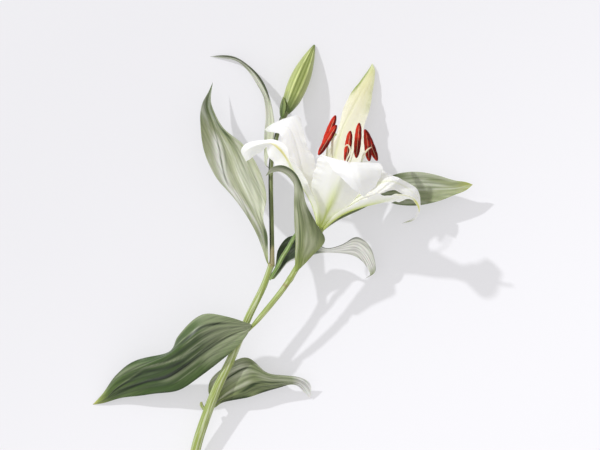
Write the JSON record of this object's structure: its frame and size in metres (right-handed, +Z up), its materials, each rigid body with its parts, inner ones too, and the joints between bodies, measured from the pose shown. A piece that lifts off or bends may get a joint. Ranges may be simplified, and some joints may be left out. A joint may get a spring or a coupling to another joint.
{
  "type": "cut white lily stem",
  "caption": "Cut stem of a white lily lying flat, with one open trumpet flower, a closed bud, long leaves and a bare cut end.",
  "frame": {"origin": "middle of the whole stem's box, on the surface that it lies on", "axes": "+Y from the cut end towards the bud, +Z up from the surface, +X to the side of the open flower's long leaf"},
  "size_m": [0.2851, 0.3523, 0.1127],
  "materials": {
    "stem_green": "smooth green skin, satin",
    "stalk_olive": "dark olive skin, satin",
    "bud_green": "yellow-green, waxy",
    "leaf_dark": "deep green, satin, grooved along its veins",
    "leaf_sage": "sage green, satin, grooved along its veins",
    "tepal_white": "white petal, matt with a soft sheen",
    "filament_cream": "pale green-white",
    "anther_red": "red pollen, matt"
  },
  "bodies": {
    "root": {"main_stem": "stem_green", "flower_pedicel": "stem_green", "side_stalk": "stem_green", "leaf_stub": "stem_green", "bud_stalk": "stalk_olive", "bud": "bud_green", "bud_bract": "leaf_dark", "leaf_lower_left": "leaf_dark", "leaf_lower_right": "leaf_sage", "leaf_tall_left": "leaf_sage", "leaf_arching_top": "leaf_sage", "leaf_front": "leaf_sage", "leaf_right_low": "leaf_sage", "leaf_right_broad": "leaf_sage", "tepal_front": "tepal_white", "tepal_right_front": "tepal_white", "tepal_right_back": "tepal_white", "tepal_back": "tepal_white", "tepal_left_back": "tepal_white", "tepal_left_front": "tepal_white", "pistil": "filament_cream", "filament_1": "filament_cream", "anther_1": "anther_red", "filament_2": "filament_cream", "anther_2": "anther_red", "filament_3": "filament_cream", "anther_3": "anther_red", "filament_4": "filament_cream", "anther_4": "anther_red", "filament_5": "filament_cream", "anther_5": "anther_red", "filament_6": "filament_cream", "anther_6": "anther_red"}
  },
  "joints": []
}
